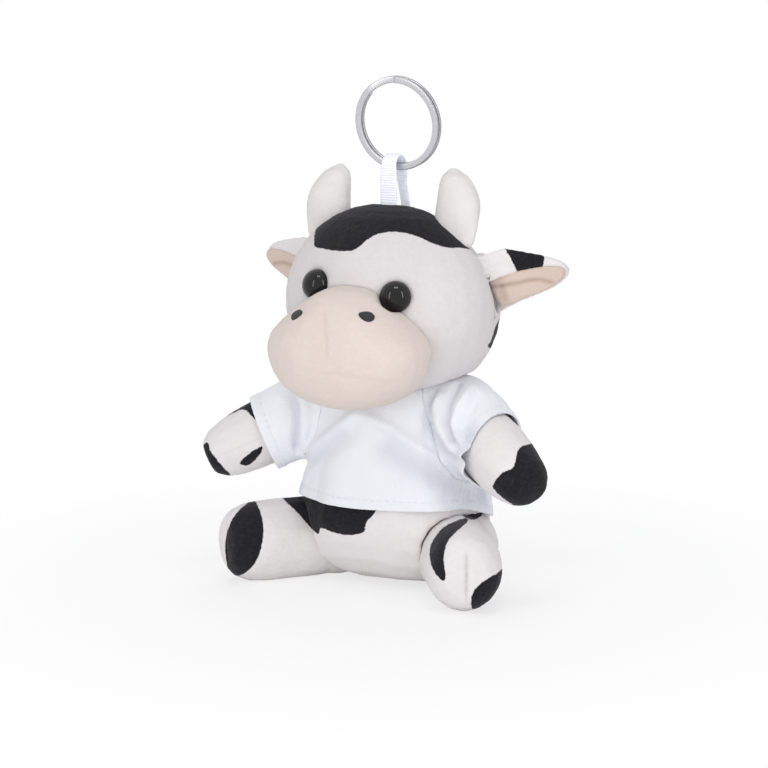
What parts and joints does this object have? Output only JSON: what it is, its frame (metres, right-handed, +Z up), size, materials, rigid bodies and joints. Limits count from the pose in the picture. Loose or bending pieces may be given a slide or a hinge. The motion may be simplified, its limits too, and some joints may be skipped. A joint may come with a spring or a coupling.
{
  "type": "plush cow key ring",
  "caption": "Small seated plush cow in a bare white T-shirt, hung from a split key ring on a ribbon loop.",
  "frame": {"origin": "middle of the flat seat, on the surface that the toy sits on", "axes": "+Z up through the key ring, the toy faces -Y, and +X is the toy's own left"},
  "size_m": [0.0989, 0.0614, 0.1306],
  "materials": {
    "white_plush": "short velboa pile",
    "peach_plush": "short velboa pile",
    "white_jersey": "ribbed jersey knit",
    "white_tape": "woven tape with cross ribs",
    "ring_steel": "nickel-plated steel wire",
    "eye_gloss": "polished black",
    "washer_plastic": "moulded"
  },
  "bodies": {
    "torso": {"torso": "white_plush", "shirt_body": "white_jersey"},
    "head": {"head": "white_plush", "muzzle": "peach_plush", "eye_left": "eye_gloss", "eye_washer_left": "washer_plastic", "horn_left": "white_plush", "eye_right": "eye_gloss", "eye_washer_right": "washer_plastic", "horn_right": "white_plush"},
    "arm_left": {"arm_left": "white_plush", "sleeve_left": "white_jersey"},
    "leg_left": {"leg_left": "white_plush"},
    "ear_left": {"ear_left": "white_plush", "ear_lining_left": "peach_plush"},
    "arm_right": {"arm_right": "white_plush", "sleeve_right": "white_jersey"},
    "leg_right": {"leg_right": "white_plush"},
    "ear_right": {"ear_right": "white_plush", "ear_lining_right": "peach_plush"},
    "ribbon": {"hanging_ribbon": "white_tape"},
    "ring": {"split_ring": "ring_steel"}
  },
  "joints": [
    {"name": "head_nod", "type": "hinge", "parent": "torso", "child": "head", "pos_m": [0, -0.002, 0.04], "axis": [1, 0, 0], "range_deg": [-8, 8], "stiffness_Nm_per_rad": 0.12},
    {"name": "arm_left_lift", "type": "hinge", "parent": "torso", "child": "arm_left", "pos_m": [0.019, -0.002, 0.045], "axis": [0, -1, 0], "range_deg": [-4, 27], "stiffness_Nm_per_rad": 0.03},
    {"name": "arm_right_lift", "type": "hinge", "parent": "torso", "child": "arm_right", "pos_m": [-0.019, -0.002, 0.045], "axis": [0, 1, 0], "range_deg": [-4, 27], "stiffness_Nm_per_rad": 0.03},
    {"name": "leg_left_spread", "type": "hinge", "parent": "torso", "child": "leg_left", "pos_m": [0.018, -0.002, 0.0105], "axis": [0, 0, 1], "range_deg": [-4, 22], "stiffness_Nm_per_rad": 0.03},
    {"name": "leg_right_spread", "type": "hinge", "parent": "torso", "child": "leg_right", "pos_m": [-0.018, -0.002, 0.0105], "axis": [0, 0, -1], "range_deg": [-4, 22], "stiffness_Nm_per_rad": 0.03},
    {"name": "ear_left_flap", "type": "hinge", "parent": "head", "child": "ear_left", "pos_m": [0.02505, 0.001, 0.0806], "axis": [-0.3698, -0.268, 0.8896], "range_deg": [-18, 18], "stiffness_Nm_per_rad": 0.005},
    {"name": "ear_right_flap", "type": "hinge", "parent": "head", "child": "ear_right", "pos_m": [-0.02505, 0.001, 0.0806], "axis": [-0.3698, 0.268, -0.8896], "range_deg": [-18, 18], "stiffness_Nm_per_rad": 0.005},
    {"name": "ribbon_fold", "type": "hinge", "parent": "head", "child": "ribbon", "pos_m": [0, -0.0008, 0.09815], "axis": [1, 0, 0], "range_deg": [-25, 25], "stiffness_Nm_per_rad": 0.01},
    {"name": "ring_swing", "type": "hinge", "parent": "ribbon", "child": "ring", "pos_m": [0, -0.0008, 0.10755], "axis": [1, 0, 0], "range_deg": [-90, 90]}
  ]
}
